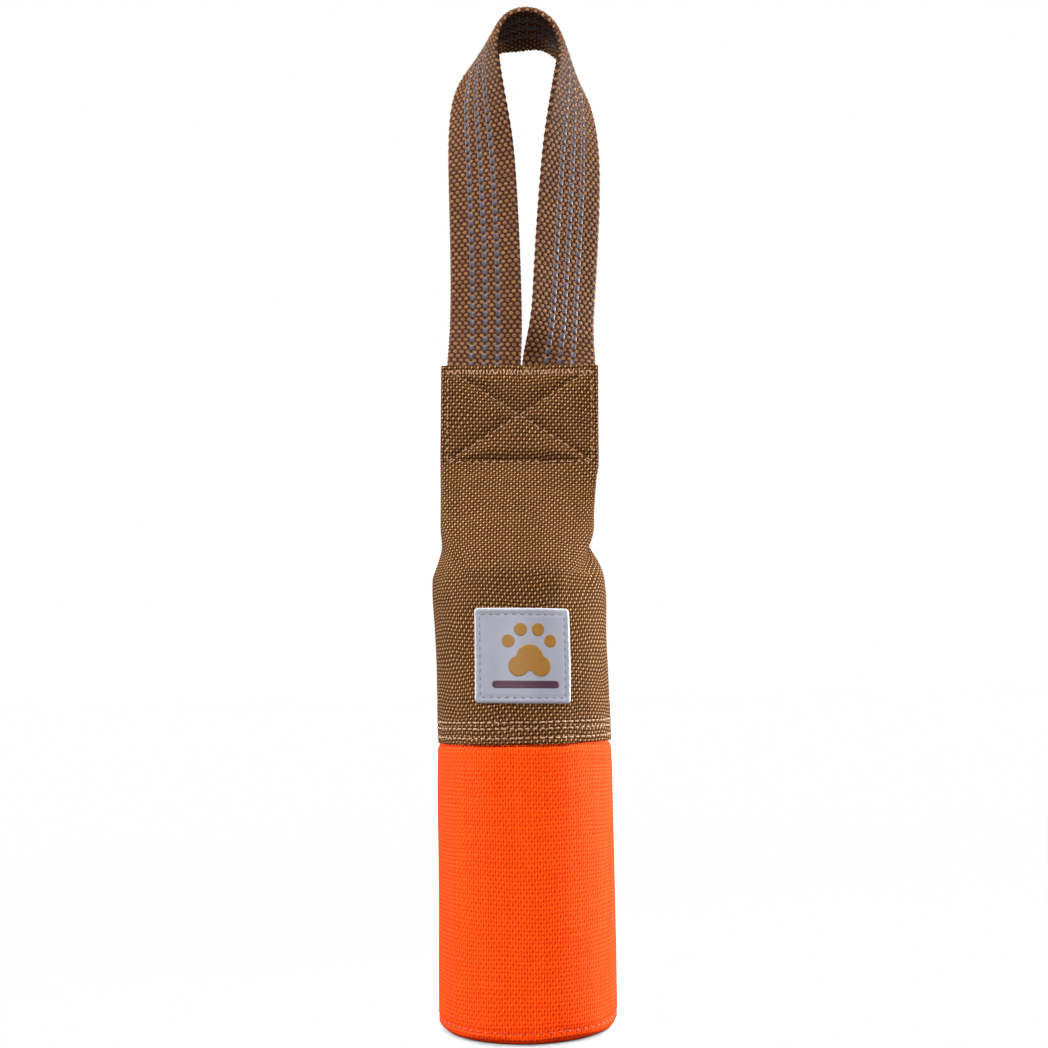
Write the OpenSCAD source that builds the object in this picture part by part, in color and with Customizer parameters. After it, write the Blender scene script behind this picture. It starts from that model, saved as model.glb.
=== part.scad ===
// Training bumper: a foam core in a two-tone canvas sleeve, closed flat round a webbing handle.
// Millimetres. +Z is up, the label faces -Y, and the origin is the centre of the base, on the floor.

/* [Foam core] */
// Radius of the foam core
core_r = 27.85; // [24:0.05:32]
// Height of the core's top above the floor
core_top_z = 147.5; // [130:0.5:170]
// Rounding of the core's lower edge
core_bottom_round = 2; // [1:0.5:2.5]
// Rounding of the core's upper edge
core_top_round = 4; // [1:0.5:8]

/* [Canvas] */
// Thickness of the canvas
fabric_t = 0.45; // [0.3:0.05:0.5]
// Height of the brown sleeve's lower edge
hem_z = 92.5; // [80:0.5:100]
// Height of the turned-up hem
hem_h = 9; // [6:0.5:12]
// Length of orange sleeve hidden under the brown one
sleeve_overlap = 19.5; // [12:0.5:25]
// How far the slack orange sleeve stands off the core near the floor
sleeve_slack = 1.1; // [0.6:0.1:2]
// Radius of the rounded edge round the base
base_round = 3; // [2:0.5:4]
// Swell of the brown sleeve at the core's upper edge
shoulder_swell = 0.35; // [0:0.05:1]

/* [Closure] */
// Width of the flattened closure
closure_w = 54.5; // [54:0.5:58]
// Height of the closure's lower edge
closure_z = 187; // [180:1:195]
// Height of the closure panels
closure_h = 35; // [30:1:40]
// Depth of the fold tucked in at each side
gusset_depth = 19; // [12:0.5:22]
// Depth of the turned-in edge at the top of the front panel
turn_in = 8; // [5:0.5:12]
// Margin of the stitched box at the sides
box_margin_x = 3.2; // [2:0.1:5]
// Margin of the stitched box at top and bottom
box_margin_z = 1.2; // [1:0.1:3]

/* [Handle] */
// Width of the webbing
strap_w = 25.4; // [20:0.1:26]
// Thickness of the webbing
strap_t = 1.8; // [1.2:0.1:2]
// Gap between the two legs where they enter the closure
leg_gap = 1.4; // [1:0.1:1.6]
// Height of the strap's bending line above the closure
hinge_rise = 2.75; // [2.75:0.05:4]
// Height at which the legs turn into the arch
arch_z = 316; // [300:1:330]
// Half-width of the arch, from centre to the middle of the strap
arch_half_w = 16.6; // [15:0.1:20]
// Rise of the arch above the legs
arch_rise = 31.6; // [24:0.1:36]
// Share of the strap's quarter turn that it makes at an even rate
even_turn = 0.5; // [0.3:0.05:1]

/* [Label] */
// Width of the label, measured round the sleeve
label_w = 32; // [24:0.5:36]
// Height of the label
label_h = 30.5; // [24:0.5:34]
// Height of the label's middle above the floor
label_mid_z = 120.8; // [119:0.1:121]
// Thickness of the label
label_t = 0.6; // [0.4:0.1:1]
// Inset of the label's stitching
label_stitch_inset = 1.8; // [1:0.1:3]

/* [Thread] */
// Width of a stitch row
thread_w = 0.5; // [0.3:0.1:0.8]
// Height of a stitch row above the cloth
thread_t = 0.3; // [0.2:0.05:0.4]

/* [Hidden] */
$fn = 96;

slip = 0.05;                                  // gap between pieces that lie on each other
pinch_r = core_r + slip;                      // orange sleeve's inside, where the hem grips it
pinch_out_r = pinch_r + fabric_t;
hem_out_r = pinch_out_r + fabric_t;           // outside of the turned-up layer
brown_out_r = hem_out_r + fabric_t;           // outside of the brown sleeve
orange_foot_r = core_r + sleeve_slack + fabric_t;
orange_head_r = brown_out_r - slip;           // orange sleeve just under the hem
orange_top_z = hem_z + sleeve_overlap;
pinch_run = 6.5;                              // height over which the hem pinches the sleeve
foot_run = 20;                                // height of the straight foot of the sleeve
sleeve_top_z = core_top_z - 0.5;              // where the brown sleeve turns slack
shoulder_run = 11;                            // height of the swell at the core's upper edge
base_disc_r = orange_foot_r - base_round - 0.35;
base_thread_z = base_round + 0.2;
hem_row_z = [hem_z + 2, hem_z + 5, hem_z + 7];
seam_clear = 1.5;                             // stitch rows stop this far from an edge

label_out_r = brown_out_r + label_t;
print_t = 0.12;
emblem_r = 10.4;                              // the emblem fits a circle of this radius
emblem_x = 2.2;
emblem_z = label_mid_z + 1.4;
bar_w = 22;
bar_x = 1;
bar_h = 2.4;
bar_z = label_mid_z - 9.2;

closure_top_z = closure_z + closure_h;
front_in_y = strap_t / 2 + fabric_t;          // inside of the front panel, from the middle plane
front_y = front_in_y + fabric_t;
gusset_y = strap_t / 2;
back_in_y = gusset_y + 2 * fabric_t;
back_y = back_in_y + fabric_t;
leg_x = (leg_gap + strap_w) / 2;
tail_bottom_z = closure_z + 2;
tail_top_z = closure_top_z + 0.6;
gusset_slit = 0.1;
box_w = closure_w - 2 * box_margin_x;
box_h = closure_h - 2 * box_margin_z;
box_mid_z = closure_z + closure_h / 2;

waist_top_z = closure_z - 0.3;
waist_t = 0.6;
waist_dip = 2.9;                              // how far the sides draw in between core and closure
waist_top_half = closure_w / 2 - 0.1;
waist_sides = 48;
waist_rings = 10;

strap_z0 = closure_top_z + hinge_rise;
leg_share = 0.7;                              // part of the way to the top that is leg
leg_steps = 18;
arch_steps = 32;
yarn_w = 2.1;
yarn_t = 0.12;
yarn_lift = 0.15;                             // how far the yarns stand off the twisted strap
rib_pitch = strap_w / 11;
yarn_ribs = [-2, 0, 2];

// ---------- helpers ----------

function arc(cx, cz, r, from, to, steps) =
    [for (i = [0:steps]) let (a = from + (to - from) * i / steps) [cx + r * cos(a), cz + r * sin(a)]];

function smooth(t) = t * t * (3 - 2 * t);

// A skin over a list of rings that all have the same number of points
module skin(rings, closed = false) {
    n = len(rings[0]);
    m = len(rings);
    last = closed ? m - 1 : m - 2;
    sides = [for (k = [0:last], i = [0:n - 1])
        let (next = (k + 1) % m, j = (i + 1) % n, a = k * n + i, c = next * n + j)
        each [[a, k * n + j, c], [a, c, next * n + i]]];
    caps = closed ? [] : [[for (i = [n - 1:-1:0]) i], [for (i = [0:n - 1]) (m - 1) * n + i]];
    polyhedron(points = [for (r = rings) each r], faces = concat(sides, caps), convexity = 8);
}

// A band round the sleeve
module band(r, t, z, h) {
    translate([0, 0, z]) difference() {
        cylinder(r = r + t, h = h);
        translate([0, 0, -1]) cylinder(r = r, h = h + 2);
    }
}

// A row of stitches round the sleeve
module stitch_ring(r, z) {
    band(r, thread_t, z - thread_w / 2, thread_w);
}

// A patch of the sleeve's front, w wide round the curve and h high
module curved_patch(r, t, w, h, mid_z) {
    turn = w / (r + t) * 180 / PI;
    translate([0, 0, mid_z - h / 2]) rotate([0, 0, -90 - turn / 2])
        rotate_extrude(angle = turn) translate([r, 0]) square([t, h]);
}

// A thread that runs up the back of the sleeve
module back_thread(y, z0, z1) {
    translate([-thread_w / 2, y, z0]) cube([thread_w, thread_t, z1 - z0]);
}

// ---------- bumper body ----------

module foam_core() {
    z0 = fabric_t + slip;
    color("ivory") rotate_extrude() polygon(concat(
        [[0, z0]],
        arc(core_r - core_bottom_round, z0 + core_bottom_round, core_bottom_round, -90, 0, 6),
        arc(core_r - core_top_round, core_top_z - core_top_round, core_top_round, 0, 90, 8),
        [[0, core_top_z]]));
}

module orange_sleeve() {
    cx = orange_foot_r - base_round;
    color("orangered") rotate_extrude() polygon(concat(
        [[base_disc_r, 0]],
        arc(cx, base_round, base_round, -90, 0, 8),
        [[orange_foot_r, foot_run], [orange_head_r, hem_z - pinch_run], [pinch_out_r, hem_z],
         [pinch_out_r, orange_top_z], [pinch_r, orange_top_z], [pinch_r, hem_z],
         [orange_head_r - fabric_t, hem_z - pinch_run], [orange_foot_r - fabric_t, foot_run]],
        arc(cx, base_round, base_round - fabric_t, 0, -90, 8),
        [[base_disc_r, fabric_t]]));
}

module base_disc() {
    color("orangered") cylinder(r = base_disc_r - slip, h = fabric_t);
}

module base_seam_thread() {
    color("coral") stitch_ring(orange_foot_r, base_thread_z + thread_w / 2);
}

module orange_seam_thread() {
    color("coral") back_thread(orange_foot_r, base_thread_z + seam_clear, hem_z - pinch_run);
}

module brown_sleeve() {
    swell_z = sleeve_top_z - shoulder_run / 2;
    color("sienna") rotate_extrude() polygon([
        [hem_out_r, hem_z], [brown_out_r, hem_z], [brown_out_r, sleeve_top_z - shoulder_run],
        [brown_out_r + shoulder_swell, swell_z], [brown_out_r, sleeve_top_z],
        [hem_out_r, sleeve_top_z], [hem_out_r + shoulder_swell, swell_z],
        [hem_out_r, sleeve_top_z - shoulder_run]]);
}

module hem_turn_up() {
    color("sienna") band(pinch_out_r, fabric_t, hem_z, hem_h);
}

module hem_thread_lower() {
    color("tan") stitch_ring(brown_out_r, hem_row_z[0]);
}

module hem_thread_middle() {
    color("tan") stitch_ring(brown_out_r, hem_row_z[1]);
}

module hem_thread_upper() {
    color("tan") stitch_ring(brown_out_r, hem_row_z[2]);
}

module brown_seam_thread() {
    color("saddlebrown")
        back_thread(brown_out_r, hem_z + hem_h, sleeve_top_z - shoulder_run - seam_clear);
}

// ---------- label ----------

module label_patch() {
    color("lightsteelblue") curved_patch(brown_out_r, label_t, label_w, label_h, label_mid_z);
}

module label_thread() {
    w = label_w - 2 * label_stitch_inset;
    h = label_h - 2 * label_stitch_inset;
    color("gray") difference() {
        curved_patch(label_out_r, thread_t, w, h, label_mid_z);
        curved_patch(label_out_r - 1, thread_t + 2, w - 2 * thread_w, h - 2 * thread_w, label_mid_z);
    }
}

// The film of print on the label, cut to the outline of its children (drawn in x and z)
module print_film() {
    intersection() {
        difference() {
            cylinder(r = label_out_r + print_t, h = 2 * label_mid_z);
            translate([0, 0, -1]) cylinder(r = label_out_r, h = 2 * label_mid_z + 2);
        }
        translate([0, -label_out_r + emblem_r, 0]) rotate([90, 0, 0])
            linear_extrude(2 * emblem_r) children();
    }
}

// A paw print: one heel pad of three lobes, and four toes
module emblem_print() {
    toe_r = 0.2 * emblem_r;
    toe_turns = [-64, -22, 22, 64];
    color("goldenrod") print_film() translate([emblem_x, emblem_z]) {
        translate([0, -0.2 * emblem_r]) circle(r = 0.42 * emblem_r);
        for (side = [-1, 1]) translate([side * 0.34 * emblem_r, -0.46 * emblem_r])
            circle(r = 0.32 * emblem_r);
        for (turn = toe_turns) rotate(turn) translate([0, 0.72 * emblem_r]) circle(r = toe_r);
    }
}

module bar_print() {
    color("purple") print_film() translate([bar_x, bar_z]) {
        square([bar_w - bar_h, bar_h], center = true);
        for (side = [-1, 1]) translate([side * (bar_w - bar_h) / 2, 0]) circle(d = bar_h);
    }
}

// ---------- slack waist ----------

// Half-width and half-depth of the slack canvas at t, from 0 at the core to 1 at the closure
function waist_half_w(t) = brown_out_r + (waist_top_half - brown_out_r) * t - waist_dip * sin(180 * t);
function waist_half_d(t) = brown_out_r + (front_y - brown_out_r) * (0.6 * t + 0.4 * smooth(t));

module waist_fabric() {
    h = waist_top_z - sleeve_top_z;
    steps = [for (i = [0:waist_rings]) i / waist_rings];
    wall = concat([for (t = steps) [t, 0]], [for (i = [waist_rings:-1:0]) [i / waist_rings, waist_t]]);
    color("peru") skin([for (k = [0:waist_sides - 1])
        let (a = 360 * k / waist_sides)
        [for (p = wall) [(waist_half_w(p[0]) - p[1]) * cos(a), (waist_half_d(p[0]) - p[1]) * sin(a),
            sleeve_top_z + h * p[0]]]], closed = true);
}

// ---------- closure ----------

module closure_panel(y0, y1) {
    translate([-closure_w / 2, y0, closure_z]) cube([closure_w, y1 - y0, closure_h]);
}

module closure_front_panel() {
    color("saddlebrown") {
        closure_panel(-front_y, -front_in_y);
        translate([-closure_w / 2, -front_in_y - 0.01, closure_top_z - turn_in])
            cube([closure_w, fabric_t + 0.01, turn_in]);
    }
}

module closure_back_panel() {
    color("saddlebrown") closure_panel(back_in_y, back_y);
}

// One side's tucked-in fold: two layers of canvas that meet at the inner crease
module gusset(side) {
    mirror([side < 0 ? 1 : 0, 0, 0]) difference() {
        translate([closure_w / 2 - gusset_depth, gusset_y, closure_z])
            cube([gusset_depth, 2 * fabric_t, closure_h]);
        translate([closure_w / 2 - gusset_depth + fabric_t, gusset_y + fabric_t - gusset_slit / 2,
                   closure_z - 1])
            cube([gusset_depth, gusset_slit, closure_h + 2]);
    }
}

module left_gusset() {
    color("peru") gusset(-1);
}

module right_gusset() {
    color("peru") gusset(1);
}

module strap_tail(side) {
    translate([side * leg_x - strap_w / 2, -strap_t / 2, tail_bottom_z])
        cube([strap_w, strap_t, tail_top_z - tail_bottom_z]);
}

module left_strap_tail() {
    color("sienna") strap_tail(-1);
}

module right_strap_tail() {
    color("sienna") strap_tail(1);
}

// The stitched box with its diagonals, lying on a panel, drawn in x and z
module box_stitching() {
    diagonal = atan2(box_h, box_w);
    length = sqrt(box_w * box_w + box_h * box_h) - thread_w;
    difference() {
        square([box_w, box_h], center = true);
        square([box_w - 2 * thread_w, box_h - 2 * thread_w], center = true);
    }
    for (turn = [diagonal, -diagonal]) rotate(turn) square([length, thread_w], center = true);
}

module closure_front_thread() {
    color("saddlebrown") translate([0, -front_y, box_mid_z]) rotate([90, 0, 0])
        linear_extrude(thread_t) box_stitching();
}

module closure_back_thread() {
    color("saddlebrown") translate([0, back_y + thread_t, box_mid_z]) rotate([90, 0, 0])
        linear_extrude(thread_t) box_stitching();
}

// ---------- handle ----------

// Turn of the strap's width at q, from 0 at the closure to 1 at the top of the arch
function strap_turn(q) = 90 * (even_turn * q + (1 - even_turn) * pow(q, 3));

// A station of the strap: its middle, the tangent in x and z, and the turn of its width
function leg_station(v) =
    let (rise = arch_z - strap_z0, dx = (arch_half_w - leg_x) * 6 * v * (1 - v) / rise)
    [[leg_x + (arch_half_w - leg_x) * smooth(v), strap_z0 + rise * v],
     [dx, 1] / sqrt(1 + dx * dx), strap_turn(leg_share * v)];
function arch_station(a) =
    let (tx = -arch_half_w * sin(a), tz = arch_rise * cos(a))
    [[arch_half_w * cos(a), arch_z + arch_rise * sin(a)],
     [tx, tz] / sqrt(tx * tx + tz * tz), strap_turn(leg_share + (1 - leg_share) * sin(a))];
function mirrored(s) = [[-s[0][0], s[0][1]], [s[1][0], -s[1][1]], s[2]];

right_leg = [for (i = [0:leg_steps - 1]) leg_station(i / leg_steps)];
arch = [for (i = [0:arch_steps]) arch_station(180 * i / arch_steps)];
left_leg = [for (i = [leg_steps - 1:-1:0]) mirrored(leg_station(i / leg_steps))];
stations = concat(right_leg, arch, left_leg);

// A point of the strap: u across its width towards the inner edge, v out of its outer face
function strap_point(s, u, v) =
    let (inward = [-s[1][1], 0, s[1][0]], front = [0, -1, 0],
         across = cos(s[2]) * inward + sin(s[2]) * front,
         outward = cos(s[2]) * front - sin(s[2]) * inward)
    [s[0][0], 0, s[0][1]] + u * across + v * outward;

// A flat ribbon along the strap's route. across lists the places over its width where it has an edge
module ribbon(across, low, high) {
    last = len(across) - 1;
    section = concat([for (u = across) [u, low]], [for (i = [last:-1:0]) [across[i], high]]);
    skin([for (s = stations) [for (c = section) strap_point(s, c[0], c[1])]]);
}

// The two edges of the yarns that run along a rib
function yarn_edges(rib) = [for (side = [-1, 1]) rib * rib_pitch + side * yarn_w / 2];

module handle_strap() {
    across = concat([-strap_w / 2], [for (rib = yarn_ribs) each yarn_edges(rib)], [strap_w / 2]);
    color("sienna") ribbon(across, -strap_t / 2, strap_t / 2);
}

module reflective_yarns() {
    low = strap_t / 2 + yarn_lift;
    color("slategray") for (rib = yarn_ribs) ribbon(yarn_edges(rib), low, low + yarn_t);
}

foam_core();
orange_sleeve();
base_disc();
base_seam_thread();
orange_seam_thread();
brown_sleeve();
hem_turn_up();
hem_thread_lower();
hem_thread_middle();
hem_thread_upper();
brown_seam_thread();
label_patch();
emblem_print();
bar_print();
label_thread();
waist_fabric();
closure_front_panel();
closure_back_panel();
left_gusset();
right_gusset();
left_strap_tail();
right_strap_tail();
closure_front_thread();
closure_back_thread();
handle_strap();
reflective_yarns();
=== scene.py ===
import math
from functools import partialmethod

import bpy
import numpy as np
from mathutils import Matrix, Vector


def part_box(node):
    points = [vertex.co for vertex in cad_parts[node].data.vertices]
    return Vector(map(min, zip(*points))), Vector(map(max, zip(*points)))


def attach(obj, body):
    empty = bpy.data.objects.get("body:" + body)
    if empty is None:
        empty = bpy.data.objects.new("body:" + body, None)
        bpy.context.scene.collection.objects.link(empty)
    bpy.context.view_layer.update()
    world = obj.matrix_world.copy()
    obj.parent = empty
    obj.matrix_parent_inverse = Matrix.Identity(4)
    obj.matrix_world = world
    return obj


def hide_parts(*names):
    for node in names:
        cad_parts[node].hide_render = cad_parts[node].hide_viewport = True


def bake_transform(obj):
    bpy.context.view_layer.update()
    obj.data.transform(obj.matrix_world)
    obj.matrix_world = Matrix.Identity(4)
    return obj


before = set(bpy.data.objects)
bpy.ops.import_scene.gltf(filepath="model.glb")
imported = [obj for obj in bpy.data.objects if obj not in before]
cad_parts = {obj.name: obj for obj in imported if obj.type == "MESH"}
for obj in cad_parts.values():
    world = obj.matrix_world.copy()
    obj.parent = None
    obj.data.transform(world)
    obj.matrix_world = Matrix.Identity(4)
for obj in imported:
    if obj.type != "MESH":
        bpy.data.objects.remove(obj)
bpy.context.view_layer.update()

MM = 0.001


def box_mm(node):
    low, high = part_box(node)
    return np.array(low) / MM, np.array(high) / MM


def middle_z(node):
    low, high = box_mm(node)
    return float(low[2] + high[2]) / 2


# ---------- sizes, in millimetres ----------

CORE_LOW, CORE_HIGH = box_mm("foam_core")
HEM_LOW, HEM_HIGH = box_mm("hem_turn_up")
PANEL_LOW, PANEL_HIGH = box_mm("closure_front_panel")
BACK_HIGH = box_mm("closure_back_panel")[1]
GUSSET_LOW = box_mm("right_gusset")[0]
LABEL_LOW, LABEL_HIGH = box_mm("label_patch")
EMBLEM_LOW, EMBLEM_HIGH = box_mm("emblem_print")
BAR_LOW, BAR_HIGH = box_mm("bar_print")
BOX_LOW, BOX_HIGH = box_mm("closure_front_thread")
TAIL_LOW, TAIL_HIGH = box_mm("right_strap_tail")
DISC_HIGH = box_mm("base_disc")[1]
ORANGE_HIGH = box_mm("orange_sleeve")[1]
HEM_NAMES = ("lower", "middle", "upper")
HEM_ROWS = [middle_z(f"hem_thread_{name}") for name in HEM_NAMES]
BASE_ROW_Z = middle_z("base_seam_thread")

FABRIC = 0.45                              # thickness of the canvas
TURNED_IN = 9.0                            # canvas turned in at the hem and at the top edge
HEM_FOLD_R, TOP_FOLD_R = 0.32, 0.36        # radius of the canvas where it turns
SLEEVE_R = HEM_HIGH[0] + FABRIC            # outside of the brown sleeve
HEM_Z, HEM_TOP = HEM_LOW[2], HEM_HIGH[2]
CORE_TOP = CORE_HIGH[2]
CLOSURE_Z, CLOSURE_TOP = PANEL_LOW[2], PANEL_HIGH[2]
CLOSURE_HALF = PANEL_HIGH[0]
FRONT_Y, BACK_Y = PANEL_LOW[1], BACK_HIGH[1]
CREASE_X = GUSSET_LOW[0]
WEB_HALF = (TAIL_HIGH[0] - TAIL_LOW[0]) / 2
STRAP_T = TAIL_HIGH[1] - TAIL_LOW[1]
LABEL_MID_Z = (LABEL_LOW[2] + LABEL_HIGH[2]) / 2
LABEL_HALF_H = (LABEL_HIGH[2] - LABEL_LOW[2]) / 2
LABEL_T = -LABEL_LOW[1] - SLEEVE_R
LABEL_HALF_W = math.asin(LABEL_HIGH[0] / -LABEL_LOW[1]) * -LABEL_LOW[1]

PERIMETER = 2 * math.pi * SLEEVE_R
WAIST_CUT = 50.5                           # cut length of the slack canvas
V_WAIST = CORE_TOP - 0.5 - HEM_Z           # where it starts, from the hem's edge
V_CLOSURE = V_WAIST + WAIST_CUT
V_TOP = V_CLOSURE + CLOSURE_TOP - CLOSURE_Z


# ---------- mesh helpers ----------

def smooth(t):
    t = np.clip(t, 0, 1)
    return t * t * (3 - 2 * t)


def hump(x, centre, width):
    return np.exp(-(((x - centre) / width) ** 2))


def unit(v):
    return v / np.maximum(np.linalg.norm(v, axis=-1, keepdims=True), 1e-12)


def grid_faces(rows, cols, closed=False):
    """Quads over a grid of points, and each corner's place in the grid of UVs, one column wider if closed."""
    j, i = np.meshgrid(np.arange(rows - 1), np.arange(cols if closed else cols - 1), indexing="ij")
    n = (i + 1) % cols
    wide = cols + int(closed)
    faces = np.stack([j * cols + i, j * cols + n, (j + 1) * cols + n, (j + 1) * cols + i], -1)
    corners = np.stack([j * wide + i, j * wide + i + 1, (j + 1) * wide + i + 1, (j + 1) * wide + i], -1)
    return faces.reshape(-1, 4), corners.reshape(-1, 4)


def capped_grid(rows, cols, first=True, flip=False):
    """grid_faces of a closed grid, with its end rows filled in. flip turns every face over."""
    both = []
    for grid, wide in zip(grid_faces(rows, cols, True), (cols, cols + 1)):
        every = [list(face) for face in grid]
        if first:
            every.append(list(range(cols))[::-1])
        every.append([(rows - 1) * wide + i for i in range(cols)])
        both.append([face[::-1] for face in every] if flip else every)
    return both


def around(r, phi, z):
    """Points at a radius and a height, at angles counted from the front."""
    return np.stack([r * np.sin(phi), -r * np.cos(phi), z], -1)


def add_object(name, data):
    obj = bpy.data.objects.new(name, data)
    bpy.context.scene.collection.objects.link(obj)
    return obj


def piece(name, points, faces, uv, corners, material):
    """A smooth-shaded mesh from points in millimetres. uv is looked up by each face's corners."""
    mesh = bpy.data.meshes.new(name)
    points = np.asarray(points).reshape(-1, 3) * MM
    mesh.from_pydata(points.tolist(), [], [list(map(int, f)) for f in faces])
    flat = np.concatenate([np.asarray(c) for c in corners])
    layer = mesh.uv_layers.new(name="weave")
    layer.data.foreach_set("uv", np.asarray(uv).reshape(-1, 2)[flat].astype(np.float32).ravel())
    mesh.polygons.foreach_set("use_smooth", np.ones(len(mesh.polygons), bool))
    mesh.update()
    mesh.materials.append(material)
    return add_object(name, mesh)


def closed_piece(name, rows, uv, material):
    """A mesh from a grid of points that is closed round its columns."""
    faces, corners = grid_faces(*rows.shape[:2], True)
    return piece(name, rows, faces, uv, corners, material)


def settled(points):
    """The soft bumper's lean to +X, and the small turn of its closure."""
    z = points[..., 2]
    turn = smooth((z - CORE_TOP) / (CLOSURE_Z - CORE_TOP))
    return points + np.stack([lean(z), 0 * z, -0.014 * turn * points[..., 0]], -1)


def wander(s, z, around, tall, waves, seed):
    """A gentle unevenness between about -1 and 1 that closes on itself round the sleeve."""
    rng = np.random.default_rng(seed)
    total = np.zeros(np.broadcast(s, z).shape)
    for _ in range(waves):
        k = rng.integers(-around, around + 1)
        m = rng.uniform(-1, 1) * 2 * math.pi / tall
        total = total + np.sin(2 * math.pi * k * s / PERIMETER + m * z + rng.uniform(0, 2 * math.pi))
    return total / math.sqrt(waves)


LEAN_Z = [0, 60, 90, 118, 140, 150, 161, 172, 187, 205, 222, 260]
LEAN_X = [0, 0.45, 0.45, 0.1, -0.45, -0.75, -0.5, 0, 0.6, 0.95, 1.3, 1.3]


def lean(z):
    """How far the soft bumper leans to +X at a height."""
    return np.interp(z, LEAN_Z, LEAN_X)


# ---------- the brown canvas ----------

def closure_section(count):
    """The closed path of the flattened canvas: front panel, tucked-in fold, back panel, fold."""
    h = CLOSURE_HALF + 0.5
    slit = (1.35, 1.45)
    right = [(0, FRONT_Y), (h - 0.9, FRONT_Y), (h - 0.1, FRONT_Y + 0.8), (h, -0.2), (h - 0.5, 0.9),
             (h - 1.5, slit[0]), (CREASE_X, slit[0]), (CREASE_X - 0.1, 1.4), (CREASE_X, slit[1]),
             (h - 1.3, slit[1] + 0.05), (h - 0.3, 1.75), (h - 0.8, BACK_Y), (0, BACK_Y)]
    left = [(-x, y) for x, y in reversed(right[1:-1])]
    path = np.array(right + left + [right[0]], float)
    along = np.concatenate([[0], np.cumsum(np.linalg.norm(np.diff(path, axis=0), axis=1))])
    # each half keeps the same share of the way round, so the fold's middle stays at the side
    at = np.linspace(0, along[-1], count, endpoint=False)
    return np.stack([np.interp(at, along, path[:, k]) for k in (0, 1)], -1)


def blurred(path, sigma):
    wave = np.fft.fft(path[:, 0] + 1j * path[:, 1])
    k = np.fft.fftfreq(len(path)) * len(path)
    wave = np.fft.ifft(wave * np.exp(-0.5 * (2 * math.pi * k * sigma / PERIMETER) ** 2))
    return np.stack([wave.real, wave.imag], -1)


def to_segment(a, b, p0, p1):
    """Distance of points (a, b) from a segment, and the share of the way along it."""
    d = np.array(p1, float) - np.array(p0, float)
    t = np.clip(((a - p0[0]) * d[0] + (b - p0[1]) * d[1]) / (d @ d), 0, 1)
    return np.hypot(a - p0[0] - t * d[0], b - p0[1] - t * d[1]), t


def waist_z(v):
    """Height of a row of the canvas, from its cut height above the hem's edge."""
    return np.interp(v, [0, V_WAIST, V_CLOSURE, V_TOP], [HEM_Z, HEM_Z + V_WAIST, CLOSURE_Z, CLOSURE_TOP])


def canvas_rows(cols, v):
    """The canvas sleeve's outer surface, one row of points for each cut height in v."""
    s = np.arange(cols) * PERIMETER / cols
    s = np.where(s > PERIMETER / 2, s - PERIMETER, s)
    phi = 2 * math.pi * s / PERIMETER
    section = closure_section(cols)
    z = waist_z(v)
    t = np.clip((v - V_WAIST) / WAIST_CUT, 0, 1)
    ease = 0.08
    w = (np.sqrt(t**2 + ease**2) - ease) / (math.sqrt(1 + ease**2) - ease)
    fold = 1 - (1 - w) ** 1.7
    beside = np.abs(np.abs(s) - PERIMETER / 4)
    in_fold = smooth(1 - beside / (PERIMETER / 4 - CLOSURE_HALF))
    rows = np.zeros((len(v), cols, 3))
    for r in range(len(v)):
        swell = 0.35 * hump(z[r], CORE_TOP - 6, 7)
        swell += 0.20 * hump(z[r], CORE_TOP - 9, 9) * hump(s, PERIMETER / 4, 20)
        radius = SLEEVE_R + swell
        flat = blurred(section, 0.75 + 6.5 * (1 - t[r]) ** 1.2)
        mix = w[r] + (fold[r] - w[r]) * in_fold
        x = (1 - mix) * radius * np.sin(phi) + mix * flat[:, 0]
        y = -(1 - mix) * radius * np.cos(phi) + mix * flat[:, 1]
        corner = hump(np.abs(s), CLOSURE_HALF, 12) * np.sign(s)
        x += 1.3 * math.sin(math.pi * t[r]) * corner
        rows[r] = np.stack([x, y, np.full(cols, z[r])], -1)
    # soft folds of the slack canvas, as (from s, z) (to s, z) width depth
    a, b = np.meshgrid(s, z)
    push = np.zeros_like(a)
    folds = [((35, 158), (15, 137), 4.0, -3.1), ((33, 145), (28, 137), 5.5, 0.4),
             ((-31, 156), (-12, 144), 5.0, -0.9), ((-10, 184), (12, 158), 6.0, 0.5),
             ((20, 184), (23, 158), 8.0, -2.1), ((70, 165), (84, 146), 5.0, -1.2),
             ((-70, 166), (-84, 148), 6.0, -1.0)]
    for p0, p1, width, depth in folds:
        d, along = to_segment(a, b, p0, p1)
        wave = (1 - 0.45 * (d / width) ** 2) * np.exp(-0.6 * (d / width) ** 2)
        push += depth * wave * (1 - 0.6 * along)
    slack = smooth((b - 128) / 17) * smooth((CLOSURE_Z - b) / 8 + 0.15)
    push = push * slack + 0.16 * wander(a, b, 9, 26, 10, 3) * smooth((CLOSURE_Z + 3 - b) / 12)
    rows += push[..., None] * normals_of(rows)
    # the cloth lies on the core and does not go into it
    out = np.hypot(rows[..., 0], rows[..., 1])
    least = np.where(rows[..., 2] < CORE_TOP + 0.8, CORE_HIGH[0] + FABRIC + 0.25, 0)
    rows[..., :2] *= np.maximum(least / out, 1)[..., None]
    return s, settled(rows)


def normals_of(rows):
    """Outward normals of a grid of points that is closed round its columns."""
    across = np.roll(rows, -1, 1) - np.roll(rows, 1, 1)
    up = np.gradient(rows, axis=0)
    return unit(np.cross(across, up))


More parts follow.
